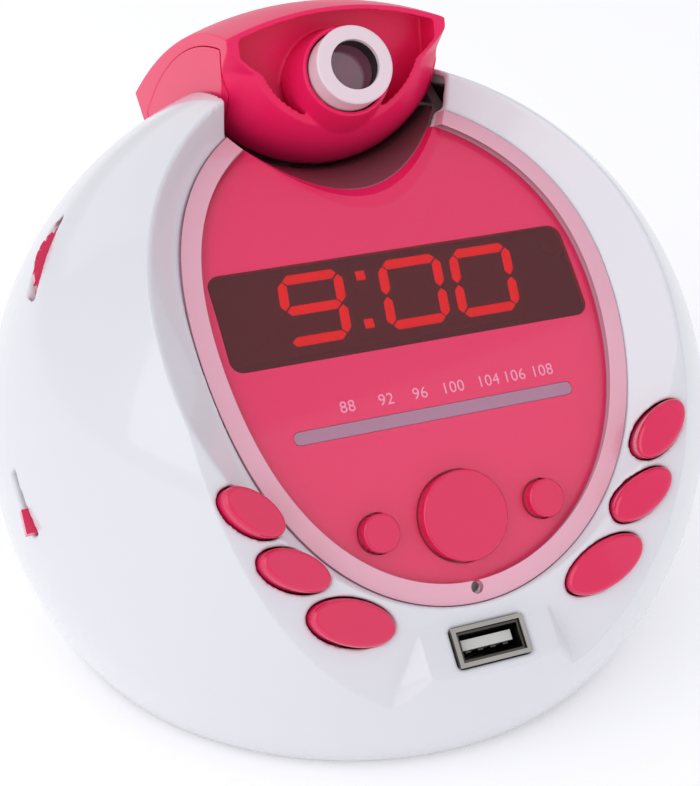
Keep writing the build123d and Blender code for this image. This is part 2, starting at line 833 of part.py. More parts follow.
with BuildPart() as usb_contacts:
    for place in (-1.5, -0.5, 0.5, 1.5):
        add(block(usb_plane, place * contact_pitch, tongue_v - tongue_thickness / 2 - usb_sheet / 2,
                  usb_sheet - usb_depth, contact_width, usb_sheet, tongue_length - tongue_side))
save(usb_contacts, "usb_contacts")

with BuildPart() as alarm_lamp:
    add(rod(lamp_plane, 0, 0, -shell_wall * 2, lamp_radius, shell_wall * 2 - lens_thickness - glue_gap))
save(alarm_lamp, "alarm_lamp")

# ---- main board with its wheels' shafts and slide switches
with BuildPart() as main_board:
    add(block(face, 0, (main_board_low + main_board_high) / 2, main_board_n, 2 * main_board_half,
              main_board_high - main_board_low, board_thickness))
    add(rod(face, 0, 0, main_board_n, main_board_radius, board_thickness), mode=Mode.INTERSECT)
    for u, v in main_post_spots:
        for hand in (-1, 1):
            add(rod(face, hand * u, v, main_board_n, screw_radius, board_thickness), mode=Mode.SUBTRACT)
save(main_board, "main_board")

with BuildPart() as board_chips:
    for u, v, width, tall, thick in chips:
        add(block(face, u, v, main_top, width, tall, thick))
save(board_chips, "board_chips")

with BuildPart() as board_capacitors:
    for u, v in capacitors:
        add(rod(face, u, v, main_top, capacitor_radius, capacitor_height))
save(board_capacitors, "board_capacitors")

controls = ((-1, "volume_wheel", "volume_pot", "function_slider", "function_switch"),
            (1, "tuning_wheel", "tuning_capacitor", "alarm_slider", "alarm_switch"))
for hand, wheel_name, pot_name, slider_name, switch_name in controls:
    with BuildPart() as wheel:
        add(rod(face, hand * wheel_u, wheel_mid_v, wheel_low, wheel_radius, wheel_thickness))
        with Locations(face):
            with Locations((hand * wheel_u, wheel_mid_v, wheel_n)):
                with PolarLocations(wheel_radius, notch_count):
                    Box(notch_size, notch_size, wheel_thickness, mode=Mode.SUBTRACT)
        add(rod(face, hand * wheel_u, wheel_mid_v, wheel_low, wheel_bore, wheel_thickness), mode=Mode.SUBTRACT)
    save(wheel, wheel_name)
    with BuildPart() as pot:
        add(rod(face, hand * wheel_u, wheel_mid_v, main_top, pot_radius, wheel_low - wheel_side_gap - main_top))
        add(rod(face, hand * wheel_u, wheel_mid_v, main_top, wheel_bore - shaft_gap,
                wheel_low + wheel_thickness - main_top))
    save(pot, pot_name)
    with BuildPart() as slider:
        add(block(face, hand * (slider_base_out + slider_out) / 2, switch_rest_v, switch_n - slot_width / 2 + fit_gap,
                  slider_out - slider_base_out, slider_length, slot_width - 2 * fit_gap))
        add(block(face, hand * (slider_base_out - slider_base / 2), switch_rest_v,
                  switch_n - slot_width / 2 - slider_base_edge, slider_base,
                  slider_length + 2 * slider_base_edge, slot_width + 2 * slider_base_edge))
    save(slider, slider_name)
    with BuildPart() as switch:
        out = slider_base_out - slider_base - fit_gap
        add(block(face, hand * (switch_body_in + out) / 2, switch_mid_v, 2 * switch_n - main_board_n,
                  out - switch_body_in, switch_body_length, 2 * (main_board_n - switch_n)))
    save(switch, switch_name)

# ---- base plate with the speaker grille, the battery well and the feet's pockets
door_front = door_y - door_width / 2
well_plane = Plane((0, door_y, 0))
with BuildPart() as base_plate:
    add(rod(Plane.XY, 0, 0, foot_height, base_radius, base_thickness))
    add(block(well_plane, 0, 0, base_top, door_length + 2 * battery_wall + fit_gap,
              door_width + 2 * battery_wall + fit_gap, well_height))
    add(block(well_plane, 0, 0, 0, door_length - 2 * battery_wall, door_width - 2 * battery_wall,
              base_top + well_height - battery_wall), mode=Mode.SUBTRACT)
    add(block(well_plane, 0, 0, 0, door_length + 2 * fit_gap, door_width + 2 * fit_gap,
              foot_height + door_thickness + fit_gap), mode=Mode.SUBTRACT)
    add(block(Plane.XY, jack_x, jack_front - jack_length + jack_stand / 2, base_top, jack_width, jack_stand,
              jack_z - jack_tall / 2 - base_top))
    for ring in range(grille_rings + 1):
        with Locations((0, speaker_y, 0)):
            with PolarLocations(ring * grille_pitch, max(1, 6 * ring)):
                Cylinder(grille_radius, far, mode=Mode.SUBTRACT)
    for x, y, angle in base_screws:
        add(rod(Plane.XY, x, y, 0, screw_radius + glue_gap, far), mode=Mode.SUBTRACT)
        add(rod(Plane.XY, x, y, 0, screw_head + glue_gap, foot_height + screw_head_height + glue_gap),
            mode=Mode.SUBTRACT)
    with PolarLocations(foot_circle, 4, start_angle=45):
        Cylinder(foot_radius + glue_gap, 2 * (foot_height + foot_pocket), mode=Mode.SUBTRACT)
save(base_plate, "base_plate")

with BuildPart() as feet:
    with PolarLocations(foot_circle, 4, start_angle=45):
        Cylinder(foot_radius, foot_height + foot_pocket, align=(Align.CENTER, Align.CENTER, Align.MIN))
save(feet, "feet")

with BuildPart() as battery_door:
    add(block(well_plane, 0, 0, foot_height, door_length, door_width, door_thickness))
save(battery_door, "battery_door")

cell_z = foot_height + door_thickness + 2 * fit_gap
with BuildPart() as backup_cells:
    for place in (-1, 1):
        with Locations((0, door_y + place * (battery_radius + glue_gap), cell_z + battery_radius)):
            Cylinder(battery_radius, battery_length, rotation=(0, 90, 0))
save(backup_cells, "backup_cells")

with BuildPart() as battery_contacts:
    for hand in (-1, 1):
        for place in (-1, 1):
            add(block(well_plane, hand * (door_length / 2 - battery_wall - contact_thickness / 2),
                      place * (battery_radius + glue_gap), cell_z + battery_radius / 2, contact_thickness,
                      battery_radius, battery_radius))
            with Locations((hand * (battery_length / 2 + (door_length / 2 - battery_wall - contact_thickness
                                                         - battery_length / 2) / 2),
                            door_y + place * (battery_radius + glue_gap), cell_z + battery_radius)):
                Cylinder(battery_radius / 2, door_length / 2 - battery_wall - contact_thickness
                         - battery_length / 2 - glue_gap, rotation=(0, 90, 0))
save(battery_contacts, "battery_contacts")

# ---- speaker standing on the grille, firing down
speaker = Plane((0, speaker_y, base_top))
with BuildPart() as speaker_frame:
    add(rod(speaker, 0, 0, 0, speaker_radius, speaker_flange))
    with Locations(speaker):
        Cone(speaker_radius - speaker_flange, magnet_radius, speaker_height - magnet_height,
             align=(Align.CENTER, Align.CENTER, Align.MIN))
        Cone(speaker_radius - speaker_flange - speaker_wall, magnet_radius - speaker_wall,
             speaker_height - magnet_height - speaker_wall, align=(Align.CENTER, Align.CENTER, Align.MIN),
             mode=Mode.SUBTRACT)
save(speaker_frame, "speaker_frame")

with BuildPart() as speaker_cone:
    with Locations(speaker):
        with Locations((0, 0, glue_gap)):
            Cone(cone_edge, voice_radius, speaker_height / 2, align=(Align.CENTER, Align.CENTER, Align.MIN))
            Cone(cone_edge - speaker_wall, voice_radius - speaker_wall, speaker_height / 2 - speaker_wall / 2,
                 align=(Align.CENTER, Align.CENTER, Align.MIN), mode=Mode.SUBTRACT)
save(speaker_cone, "speaker_cone")

with BuildPart() as speaker_magnet:
    add(rod(speaker, 0, 0, speaker_height - magnet_height, magnet_radius, magnet_height))
save(speaker_magnet, "speaker_magnet")

# ---- power socket
with BuildPart() as power_flush:
    with Locations(centre):
        Sphere(ball_radius - fit_gap)

with BuildPart() as dc_jack:
    add(block(jack_plane, 0, 0, -jack_length, jack_width, jack_tall, jack_length))
    add(rod(jack_plane, 0, 0, 0, jack_barrel, ball_radius))
    add(power_flush.part, mode=Mode.INTERSECT)
    add(rod(jack_plane, 0, 0, 0, jack_radius, ball_radius), mode=Mode.SUBTRACT)
    add(rod(jack_plane, 0, 0, -glue_gap, jack_pin, jack_bore))
save(dc_jack, "dc_jack")

# ---- projector head
optic = Plane(origin=(0, lens_y, centre_height + lens_z), x_dir=(1, 0, 0),
              z_dir=(0, -cos(radians(lens_rise)), sin(radians(lens_rise))))
rim = Plane(origin=(0, rim_y, centre_height + rim_z), x_dir=(1, 0, 0),
            z_dir=(0, -cos(radians(rim_lean)), sin(radians(rim_lean))))


# behind the flare's start the top flattens out, about a centre further down the same ray
flare_centre = Vector(*polar(head_top_side - flare_radius, flare_start))
flare_origin = (0, flare_centre.X, centre_height + flare_centre.Y)


def flare_reach(angle, radius):
    along = flare_centre.dot(Vector(*polar(1, angle)))
    return along + sqrt(radius ** 2 - flare_centre.length ** 2 + along ** 2)


def flare_crown(inset):
    half, side_reach = head_half - inset, flare_radius - inset
    with BuildPart() as crown:
        with BuildSketch(Plane(origin=flare_origin, x_dir=(1, 0, 0), z_dir=(0, -1, 0))):
            with BuildLine():
                ThreePointArc((-half, side_reach), (0, side_reach + head_crown), (half, side_reach))
                Polyline((half, side_reach), (half, flare_radius / 2), (-half, flare_radius / 2), (-half, side_reach))
            make_face()
        revolve(axis=Axis(flare_origin, (1, 0, 0)), revolution_arc=flare_start)
    return crown.part.rotate(Axis(flare_origin, (1, 0, 0)), -90.0)


# swinging section of the head, with the round back end seen from the side
def head_ring(inset):
    half, low, low_side = head_half - inset, head_inner + inset, head_inner_side + inset
    back_reach = flare_reach(head_back, flare_radius + head_crown + 1)
    with BuildPart() as ring:
        add(channel_sweep(channel_sketch(half, low, low_side, far / 2), 0, flare_start))
        add(flare_crown(inset), mode=Mode.INTERSECT)
        add(channel_sweep(channel_sketch(half, low, low_side, head_top - inset, head_top_side - inset),
                          flare_start, cradle_front))
        with BuildSketch(profile) as outline:
            with BuildLine():
                CenterArc((0, 0), head_top + 1, flare_start, cradle_front - flare_start)
                Line(polar(head_top + 1, cradle_front), polar(head_inner - 1, cradle_front))
                CenterArc((0, 0), head_inner - 1, head_back, cradle_front - head_back)
                Line(polar(head_inner - 1, head_back), polar(back_reach, head_back))
                RadiusArc(polar(back_reach, head_back), polar(head_top + 1, flare_start),
                          -flare_radius - head_crown - 1)
            make_face()
            fillet(outline.vertices().sort_by(Axis((0, 0, 0), (*polar(1, head_back), 0)))[-1:], head_back_round)
            offset(amount=-inset)
        extrude(amount=head_half, both=True, mode=Mode.INTERSECT)
    return ring.part


# what the pointed chin leaves of the head
def chin_limit(inset):
    reach, reach_side = chin_radius - inset, chin_radius_side - inset
    with BuildPart() as chin:
        with BuildSketch(Plane(origin=(0, chin_y, centre_height + chin_z), x_dir=(1, 0, 0), z_dir=(0, -1, 0))):
            with BuildLine():
                ThreePointArc((-head_half, reach_side), (0, reach), (head_half, reach_side))
                Polyline((head_half, reach_side), (head_half, 0), (-head_half, 0), (-head_half, reach_side))
            make_face()
        revolve(axis=Axis((0, chin_y, centre_height + chin_z), (1, 0, 0)))
        with BuildSketch(Plane((0, chin_y, centre_height + chin_z))):
            with BuildLine():
                ThreePointArc((-head_half, -reach_side), (0, -reach), (head_half, -reach_side))
                Polyline((head_half, -reach_side), (head_half, far), (-head_half, far), (-head_half, -reach_side))
            make_face()
        extrude(amount=head_half, dir=(0, -sin(radians(tip_lean)), cos(radians(tip_lean))))
        add(block(Plane((0, chin_y + far / 2, 0)), 0, 0, 0, 2 * head_half, far, far))
    return chin.part


outer_ring = head_ring(0)
inner_ring = head_ring(head_wall)
outer_chin = chin_limit(0)

with BuildPart() as head_hollow:
    add(inner_ring)
    add(chin_limit(head_wall), mode=Mode.INTERSECT)

# mouth of the housing in front of the bezel, with a thin lip above and below
with BuildPart() as mouth:
    add(head_ring(rim_lip))
    add(chin_limit(rim_lip), mode=Mode.INTERSECT)
    add(block(rim, 0, 0, -bezel_setback, 2 * (head_half - head_wall), far, far), mode=Mode.INTERSECT)

pocket = channel_sweep(band_section(head_half - pocket_depth, far, head_inner_side, pocket_top),
                       pocket_back, pocket_front)
cap_shape = channel_sweep(band_section(head_half - pocket_depth + glue_gap, head_half,
                                       head_inner_side + 2 * glue_gap, pocket_top - glue_gap),
                          pocket_back + fit_gap, pocket_front - fit_gap)
rail = channel_sweep(band_section(head_half - pocket_depth / 2, channel_half + rail_depth - fit_gap, rail_inner,
                                  rail_outer), rail_back, rail_front)

with BuildPart() as projector_housing:
    add(outer_ring)
    add(outer_chin, mode=Mode.INTERSECT)
    add(block(rim, 0, 0, 0, far, far, far), mode=Mode.SUBTRACT)
    add(head_hollow.part, mode=Mode.SUBTRACT)
    add(mouth.part, mode=Mode.SUBTRACT)
    add(rod(optic, 0, 0, -barrel_length, barrel_radius + glue_gap, far), mode=Mode.SUBTRACT)
    add(rod(optic, 0, 0, -ring_length - fit_gap, ring_radius + fit_gap, far), mode=Mode.SUBTRACT)
    add(pocket, mode=Mode.SUBTRACT)
    add(mirror(pocket, about=Plane.YZ), mode=Mode.SUBTRACT)
save(projector_housing, "projector_housing")

with BuildPart() as projector_cap_right:
    add(cap_shape)
    add(outer_chin, mode=Mode.INTERSECT)
    add(rail)
save(projector_cap_right, "projector_cap_right")

with BuildPart() as projector_cap_left:
    add(mirror(projector_cap_right.part, about=Plane.YZ))
save(projector_cap_left, "projector_cap_left")

# bezel: a set-back wall with the mound that carries the lens
ring_seat = ring_length - ring_out
with BuildPart() as head_room:
    add(head_ring(head_wall + glue_gap))
    add(block(rim, 0, 0, -bezel_setback - bezel_thickness, far, far, far), mode=Mode.INTERSECT)

with BuildPart() as chin_room:
    add(chin_limit(head_wall + glue_gap))

with BuildPart() as projector_bezel:
    add(block(rim, 0, 0, -bezel_setback - bezel_thickness, far, far, bezel_thickness))
    add(chin_room.part, mode=Mode.INTERSECT)
    with Locations(optic):
        with Locations((0, 0, -ring_out)):
            Cone(mound_bottom, mound_top, mound_back - ring_out, align=(Align.CENTER, Align.CENTER, Align.MAX))
    add(head_room.part, mode=Mode.INTERSECT)
    add(projector_housing.part, mode=Mode.SUBTRACT)
    add(rod(optic, 0, 0, -ring_length - fit_gap, ring_radius + fit_gap, far), mode=Mode.SUBTRACT)
    add(rod(optic, 0, 0, -far, barrel_radius + glue_gap, 2 * far), mode=Mode.SUBTRACT)
save(projector_bezel, "projector_bezel")

with BuildPart() as focus_ring:
    add(rod(optic, 0, 0, -ring_length, ring_radius, ring_length))
    fillet(focus_ring.edges().group_by(Axis(optic.origin, optic.z_dir))[-1], edge_round)
    add(rod(optic, 0, 0, -ring_length, barrel_radius + shaft_gap, ring_length - ring_lip), mode=Mode.SUBTRACT)
    add(rod(optic, 0, 0, -ring_length, ring_opening, far), mode=Mode.SUBTRACT)
save(focus_ring, "focus_ring")

with BuildPart() as lens_barrel:
    add(rod(optic, 0, 0, -barrel_length, barrel_radius, barrel_length - ring_lip - fit_gap))
    add(rod(optic, 0, 0, -far, barrel_radius - barrel_wall, 2 * far), mode=Mode.SUBTRACT)
save(lens_barrel, "lens_barrel")

with BuildPart() as projector_lens:
    add(rod(optic, 0, 0, -glass_depth - glass_thickness, barrel_radius - barrel_wall - shaft_gap, glass_thickness))
save(projector_lens, "projector_lens")

with BuildPart() as projector_lcd:
    add(rod(optic, 0, 0, -barrel_length - glue_gap - lcd_thickness, barrel_radius, lcd_thickness))
save(projector_lcd, "projector_lcd")

with BuildPart() as projector_lamp:
    add(rod(optic, 0, 0, -barrel_length - 2 * glue_gap - lcd_thickness - lamp_depth, barrel_radius, lamp_depth))
save(projector_lamp, "projector_lamp")


# ---- screws: under the base, through the main board and through the dial and key boards
def screw(plane, u, v, n, length):
    with BuildPart() as item:
        add(rod(plane, u, v, n, screw_head, screw_head_height))
        add(rod(plane, u, v, n, screw_radius - glue_gap, screw_head_height + length))
    return item.part


with BuildPart() as screws:
    for x, y, angle in base_screws:
        add(screw(Plane.XY, x, y, foot_height, screw_length + base_thickness - screw_head_height - glue_gap))
    for hand in (-1, 1):
        for u, v in main_post_spots:
            add(screw(face, hand * u, v, main_board_n - screw_head_height, board_thickness))
        for u, v in pillar_spots:
            add(screw(face, hand * u, v, dial_board_n - screw_head_height, board_thickness))
        for plane in key_boards.values():
            add(screw(plane, hand * key_board_half, 0, -screw_head_height, board_thickness))
save(screws, "screws")
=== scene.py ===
import bpy
import bmesh
import math
import numpy as np
from mathutils import Matrix, Vector


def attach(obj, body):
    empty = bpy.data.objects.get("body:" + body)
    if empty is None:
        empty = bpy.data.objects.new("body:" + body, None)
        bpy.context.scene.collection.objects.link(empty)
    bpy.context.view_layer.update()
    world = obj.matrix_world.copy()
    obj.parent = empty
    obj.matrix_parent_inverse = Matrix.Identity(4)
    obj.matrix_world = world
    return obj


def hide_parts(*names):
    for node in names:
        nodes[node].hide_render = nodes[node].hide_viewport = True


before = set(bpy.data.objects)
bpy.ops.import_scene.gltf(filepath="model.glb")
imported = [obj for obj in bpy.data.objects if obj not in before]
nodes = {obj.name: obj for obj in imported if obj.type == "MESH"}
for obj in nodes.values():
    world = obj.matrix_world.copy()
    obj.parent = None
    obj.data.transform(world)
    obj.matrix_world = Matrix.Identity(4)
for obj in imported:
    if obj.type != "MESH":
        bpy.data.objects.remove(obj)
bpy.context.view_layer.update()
print("frame loaded,", len(nodes), "nodes")

mm = 0.001

# the clock's own frame, in millimetres: u across the face, v up it, n out of it
stance = {"centreHeight": 40.6, "lean": 46.6, "ball": 70.0}
# print is the printed egg's outline: its mean radius, and its shares of one and two turns of the cosine
face = {"height": 45.1, "radius": 142.0, "print": (41.4, 2.5, 4.9), "lampV": -44.9, "lampHole": 1.15}
lean = math.radians(stance["lean"])
centre = np.array((0.0, 0.0, stance["centreHeight"]))
upDir = np.array((0.0, math.sin(lean), math.cos(lean)))
outDir = np.array((0.0, -math.cos(lean), math.sin(lean)))


def faceHeight(v):
    return face["height"] - face["radius"] + np.sqrt(face["radius"] ** 2 - np.square(v))


def place(u, v, n):
    # a point of the face frame, in metres
    p = centre + np.array((u, 0, 0)) + upDir * v + outDir * n
    return Vector(p * mm)


# small helpers for pieces
def linkObject(name, data):
    obj = bpy.data.objects.new(name, data)
    bpy.context.scene.collection.objects.link(obj)
    return obj


def finalMesh(obj):
    # the object's mesh with its modifiers applied
    return bpy.data.meshes.new_from_object(obj.evaluated_get(bpy.context.evaluated_depsgraph_get()))


def meshOf(name, shape):
    # turns a bmesh into a mesh and frees it
    mesh = bpy.data.meshes.new(name)
    shape.to_mesh(mesh)
    shape.free()
    return mesh


def smooth(obj, angle=35):
    obj.data.shade_smooth()
    obj.data.set_sharp_from_angle(angle=math.radians(angle))


def dress(obj, material):
    obj.data.materials.clear()
    obj.data.materials.append(material)
    return obj


# shader wires: sockets that take + - * / from either side
class Wire:
    def __init__(self, graph, socket):
        self.graph, self.socket = graph, socket

    def maths(self, kind, *others):
        return self.graph.maths(kind, self, *others)

    def __add__(self, other):
        return self.maths("ADD", other)

    def __mul__(self, other):
        return self.maths("MULTIPLY", other)

    def __sub__(self, other):
        return self.maths("SUBTRACT", other)

    def __rsub__(self, other):
        return self.graph.maths("SUBTRACT", other, self)

    def __truediv__(self, other):
        return self.maths("DIVIDE", other)

    def __rtruediv__(self, other):
        return self.graph.maths("DIVIDE", other, self)

    __radd__ = __add__
    __rmul__ = __mul__

    def step(self, half):
        # 0 below minus half, 1 above half, smooth between
        return self.graph.add("ShaderNodeMapRange", {"interpolation_type": "SMOOTHSTEP"},
                              {"Value": self, "From Min": -half, "From Max": half})


def opaque(colour):
    return colour if isinstance(colour, Wire) else (*colour[:3], 1.0)


def shaded(colour, share):
    return tuple(c * share for c in colour)


class Graph:
    def __init__(self, name):
        self.material = bpy.data.materials.new(name)
        self.material.use_nodes = True
        self.tree = self.material.node_tree
        self.tree.nodes.clear()

    def add(self, kind, settings=None, sockets=None, output=0):
        node = self.tree.nodes.new(kind)
        for key, value in (settings or {}).items():
            setattr(node, key, value)
        for key, value in (sockets or {}).items():
            if isinstance(value, Wire):
                self.tree.links.new(value.socket, node.inputs[key])
            else:
                node.inputs[key].default_value = value
        return Wire(self, node.outputs[output])

    def maths(self, kind, *terms):
        return self.add("ShaderNodeMath", {"operation": kind}, dict(enumerate(terms)))

    def position(self):
        return self.add("ShaderNodeTexCoord", output="Object")

    def parts(self, vector):
        split = self.add("ShaderNodeSeparateXYZ", None, {0: vector})
        return [Wire(self, output) for output in split.socket.node.outputs]

    def noise(self, scale, detail=3.0):
        return self.add("ShaderNodeTexNoise", None,
                        {"Vector": self.position(), "Scale": scale, "Detail": detail})

    def mix(self, factor, first, second):
        return self.add("ShaderNodeMix", {"data_type": "RGBA"},
                        {0: factor, 6: opaque(first), 7: opaque(second)}, 2)

    def blend(self, factor, first, second):
        return self.add("ShaderNodeMixShader", None, {"Fac": factor, 1: first, 2: second})

    def bump(self, height, strength, distance):
        return self.add("ShaderNodeBump", None,
                        {"Height": height, "Strength": strength, "Distance": distance})

    def principled(self, sockets):
        colour = {key: opaque(sockets[key]) for key in ("Base Color", "Emission Color") if key in sockets}
        return self.add("ShaderNodeBsdfPrincipled", None, {**sockets, **colour})

    def finish(self, shader):
        out = self.tree.nodes.new("ShaderNodeOutputMaterial")
        self.tree.links.new(shader.socket, out.inputs["Surface"])
        return self.material


# depths and edges are in metres, cloud is how fine the unevenness is
moulding = {"cloud": 18.0, "uneven": 0.06, "grainDetail": 2.0, "depth": 0.0001, "coatRough": 0.04}
plating = {"stretch": (900.0, 40.0, 40.0), "lines": 6.0, "lineDetail": 3.0, "cloud": 120.0, "shade": 0.8,
           "worn": 0.1, "bump": 0.05, "depth": 0.0001}
sheet = {"cloud": 60.0, "uneven": 0.02, "rough": 0.04, "ownRough": 0.3}
glow = {"cloud": 700.0, "dim": 0.75, "rough": 0.4, "strength": 1.1}
lensLook = {"tint": (1.0, 0.985, 0.99), "mirror": (1.0, 1.0, 1.0), "cloud": 40.0, "uneven": 0.02,
            "rough": 0.05, "reflect": 0.018, "edge": 0.00008, "lampEdge": 0.0001, "shade": 0.94,
            "paleRough": 0.18, "paleCoat": 0.5, "milk": 0.2, "milkReach": (0.004, 0.003, 0.003),
            "milkScale": 0.4}


def plastic(name, colour, rough=0.25, coat=0.0, grain=0.02, grainScale=900.0, tint=0.03, shine=0.5):
    # moulded plastic: faint moulding grain, a little unevenness in tone and gloss
    g = Graph(name)
    broad = g.noise(moulding["cloud"])
    fine = g.noise(grainScale, moulding["grainDetail"])
    sockets = {"Base Color": g.mix(broad, shaded(colour, 1 - tint * 2), colour),
               "Roughness": broad * moulding["uneven"] + (rough - moulding["uneven"] / 2),
               "Normal": g.bump(fine, grain, moulding["depth"]), "Specular IOR Level": shine}
    if coat:
        sockets["Coat Weight"] = coat
        sockets["Coat Roughness"] = moulding["coatRough"]
    return g.finish(g.principled(sockets))


def metal(name, colour, rough=0.3):
    # drawn or plated metal: fine lines one way, uneven shine
    g = Graph(name)
    stretched = g.add("ShaderNodeVectorMath", {"operation": "MULTIPLY"},
                      {0: g.position(), 1: plating["stretch"]})
    lines = g.add("ShaderNodeTexNoise", None,
                  {"Vector": stretched, "Scale": plating["lines"], "Detail": plating["lineDetail"]})
    cloud = g.noise(plating["cloud"])
    return g.finish(g.principled({
        "Base Color": g.mix(cloud, shaded(colour, plating["shade"]), colour), "Metallic": 1.0,
        "Roughness": lines * plating["worn"] + (rough - plating["worn"] / 2),
        "Normal": g.bump(lines, plating["bump"], plating["depth"])}))


def glowing(name, colour):
    g = Graph(name)
    cloud = g.noise(glow["cloud"])
    return g.finish(g.principled({
        "Base Color": colour, "Emission Color": g.mix(cloud, shaded(colour, glow["dim"]), colour),
        "Emission Strength": glow["strength"], "Roughness": glow["rough"]}))


def clearSheet(name, tint, reflect, hide):
    # thin clear plastic: mostly see-through, with a share of sharp reflection and a share of its own tint
    g = Graph(name)
    through = g.add("ShaderNodeBsdfTransparent", None, {"Color": opaque(tint)})
    cloud = g.noise(sheet["cloud"])
    mirror = g.principled({"Base Color": tint, "Metallic": 1.0,
                           "Roughness": cloud * sheet["uneven"] + sheet["rough"]})
    own = g.principled({"Base Color": tint, "Roughness": sheet["ownRough"]})
    return g.finish(g.blend(hide, g.blend(reflect, through, mirror), own))


def lensClear(name):
    # clear over the print, pale and milky where its border stands past the print, but for the lamp's hole
    g = Graph(name)
    x, y, z = g.parts(g.position())
    v = y * math.sin(lean) + (z - stance["centreHeight"] * mm) * math.cos(lean)
    reach = (x * x + v * v).maths("SQRT")
    cosine = v / reach
    mean, once, twice = (part * mm for part in face["print"])
    edge = (cosine * once + cosine * cosine * (2 * twice)) + (mean - twice)
    fromLamp = v - face["lampV"] * mm
    lampAway = (x * x + fromLamp * fromLamp).maths("SQRT") - face["lampHole"] * mm
    border = (reach - edge).step(lensLook["edge"]) * lampAway.step(lensLook["lampEdge"])
    through = g.add("ShaderNodeBsdfTransparent", None, {"Color": opaque(lensLook["tint"])})
    cloud = g.noise(lensLook["cloud"])
    mirror = g.principled({"Base Color": lensLook["mirror"], "Metallic": 1.0,
                           "Roughness": cloud * lensLook["uneven"] + lensLook["rough"]})
    pale = g.principled({
        "Base Color": g.mix(cloud, shaded(colours["rim"], lensLook["shade"]), colours["rim"]),
        "Roughness": lensLook["paleRough"], "Coat Weight": lensLook["paleCoat"],
        "Subsurface Weight": lensLook["milk"], "Subsurface Radius": lensLook["milkReach"],
        "Subsurface Scale": lensLook["milkScale"]})
    return g.finish(g.blend(border, g.blend(lensLook["reflect"], through, mirror), pale))


colours = {
    "white": (0.71, 0.705, 0.75), "under": (0.72, 0.72, 0.75), "dial": (0.80, 0.012, 0.112),
    "head": (0.84, 0.012, 0.110), "key": (0.72, 0.008, 0.085), "rim": (0.80, 0.41, 0.51),
    "cradle": (0.14, 0.075, 0.085), "pearl": (0.80, 0.64, 0.70), "glass": (0.24, 0.070, 0.120),
    "mark": (0.92, 0.34, 0.50), "red": (1.0, 0.035, 0.015), "smoke": (0.75, 0.12, 0.16),
    "strip": (0.75, 0.42, 0.60), "lamp": (0.10, 0.08, 0.09), "pointer": (0.85, 0.66, 0.74),
    "black": (0.012, 0.012, 0.014), "board": (0.015, 0.10, 0.035), "rubber": (0.02, 0.02, 0.02),
    "paper": (0.03, 0.03, 0.03), "cell": (0.03, 0.12, 0.05), "tongue": (0.70, 0.70, 0.66),
    "socket": (0.42, 0.40, 0.37), "socketPaintedShade": (0.10, 0.09, 0.08), "steel": (0.45, 0.45, 0.46),
    "magnet": (0.30, 0.30, 0.32),
}
shellPaint = plastic("polishedWhite", colours["white"], rough=0.24, coat=0.6, grain=0.003, tint=0.01)
underPaint = plastic("satinWhite", colours["under"], rough=0.45, grain=0.10)
dialPaint = plastic("dialPink", colours["dial"], rough=0.40, grain=0.0, tint=0.02)
headPaint = plastic("headPink", colours["head"], rough=0.34, tint=0.02, shine=0.3)
keyPaint = plastic("keyPink", colours["key"], rough=0.16, coat=0.6, grain=0.008, tint=0.02, shine=0.35)
cradlePaint = plastic("cradleMauve", colours["cradle"], rough=0.08, coat=1.0, grain=0.002, shine=1.0)
pearlPaint = plastic("pearlRing", colours["pearl"], rough=0.33, coat=0.2, grain=0.05, grainScale=2500.0)
blackPaint = plastic("mattBlack", colours["black"], rough=0.45, grain=0.06)
boardPaint = plastic("boardGreen", colours["board"], rough=0.35, coat=0.4, grain=0.15, grainScale=400.0)
rubberPaint = plastic("footRubber", colours["rubber"], rough=0.8, grain=0.2)
paperPaint = plastic("speakerPaper", colours["paper"], rough=0.9, grain=0.5, grainScale=600.0)
cellPaint = plastic("cellWrap", colours["cell"], coat=0.5)
tonguePaint = plastic("tongueWhite", colours["tongue"], rough=0.35)
markPaint = plastic("numberInk", colours["mark"], rough=0.5, grain=0.0)
opticPaint = plastic("coatedOptic", colours["glass"], rough=0.06, coat=1.0, grain=0.0)
lampPaint = plastic("lampGrey", colours["lamp"], rough=0.3)
pointerPaint = plastic("pointerPale", colours["pointer"], rough=0.3)
socketMetal = metal("usbNickel", colours["socket"], rough=0.20)
# painted shade: the port's inner shell and contacts are plated metal like the rim, darkened here for the
# shade inside the port
socketPaintedShade = metal("usbInsidePaintedShade", colours["socketPaintedShade"])
steelMetal = metal("dullSteel", colours["steel"], rough=0.35)
magnetMetal = metal("zincMagnet", colours["magnet"], rough=0.5)
clearPaint = lensClear("lensClear")
smokePaint = clearSheet("smokedWindow", colours["smoke"], reflect=0.022, hide=0.06)
stripPaint = clearSheet("scaleStrip", colours["strip"], reflect=0.05, hide=0.45)
litPaint = glowing("litRed", colours["red"])
print("materials made")

finishes = {
    "front_shell": shellPaint, "rear_cover": shellPaint, "base_plate": underPaint,
    "battery_door": underPaint, "projector_cradle": cradlePaint, "dial_plate": dialPaint,
    "clear_lens": clearPaint, "dial_window": stripPaint, "display_window": smokePaint,
    "lit_segments": litPaint, "alarm_lamp": lampPaint, "dial_pointer": pointerPaint,
    "projector_housing": headPaint, "projector_bezel": headPaint, "projector_cap_left": headPaint,
    "projector_cap_right": headPaint, "projector_lens": opticPaint, "projector_lcd": opticPaint,
    # the port's inner shell and contacts get the darkened nickel, painted shade for the inside of the port
    "focus_ring": pearlPaint, "usb_surround": socketMetal, "usb_shell": socketPaintedShade,
    "usb_contacts": socketPaintedShade, "usb_tongue": tonguePaint, "dial_board": boardPaint,
    "main_board": boardPaint, "left_key_board": boardPaint, "right_key_board": boardPaint,
    "board_capacitors": steelMetal, "battery_contacts": steelMetal, "backup_cells": cellPaint,
    "speaker_frame": steelMetal, "speaker_magnet": magnetMetal, "speaker_cone": paperPaint,
    "screws": steelMetal, "feet": rubberPaint,
}
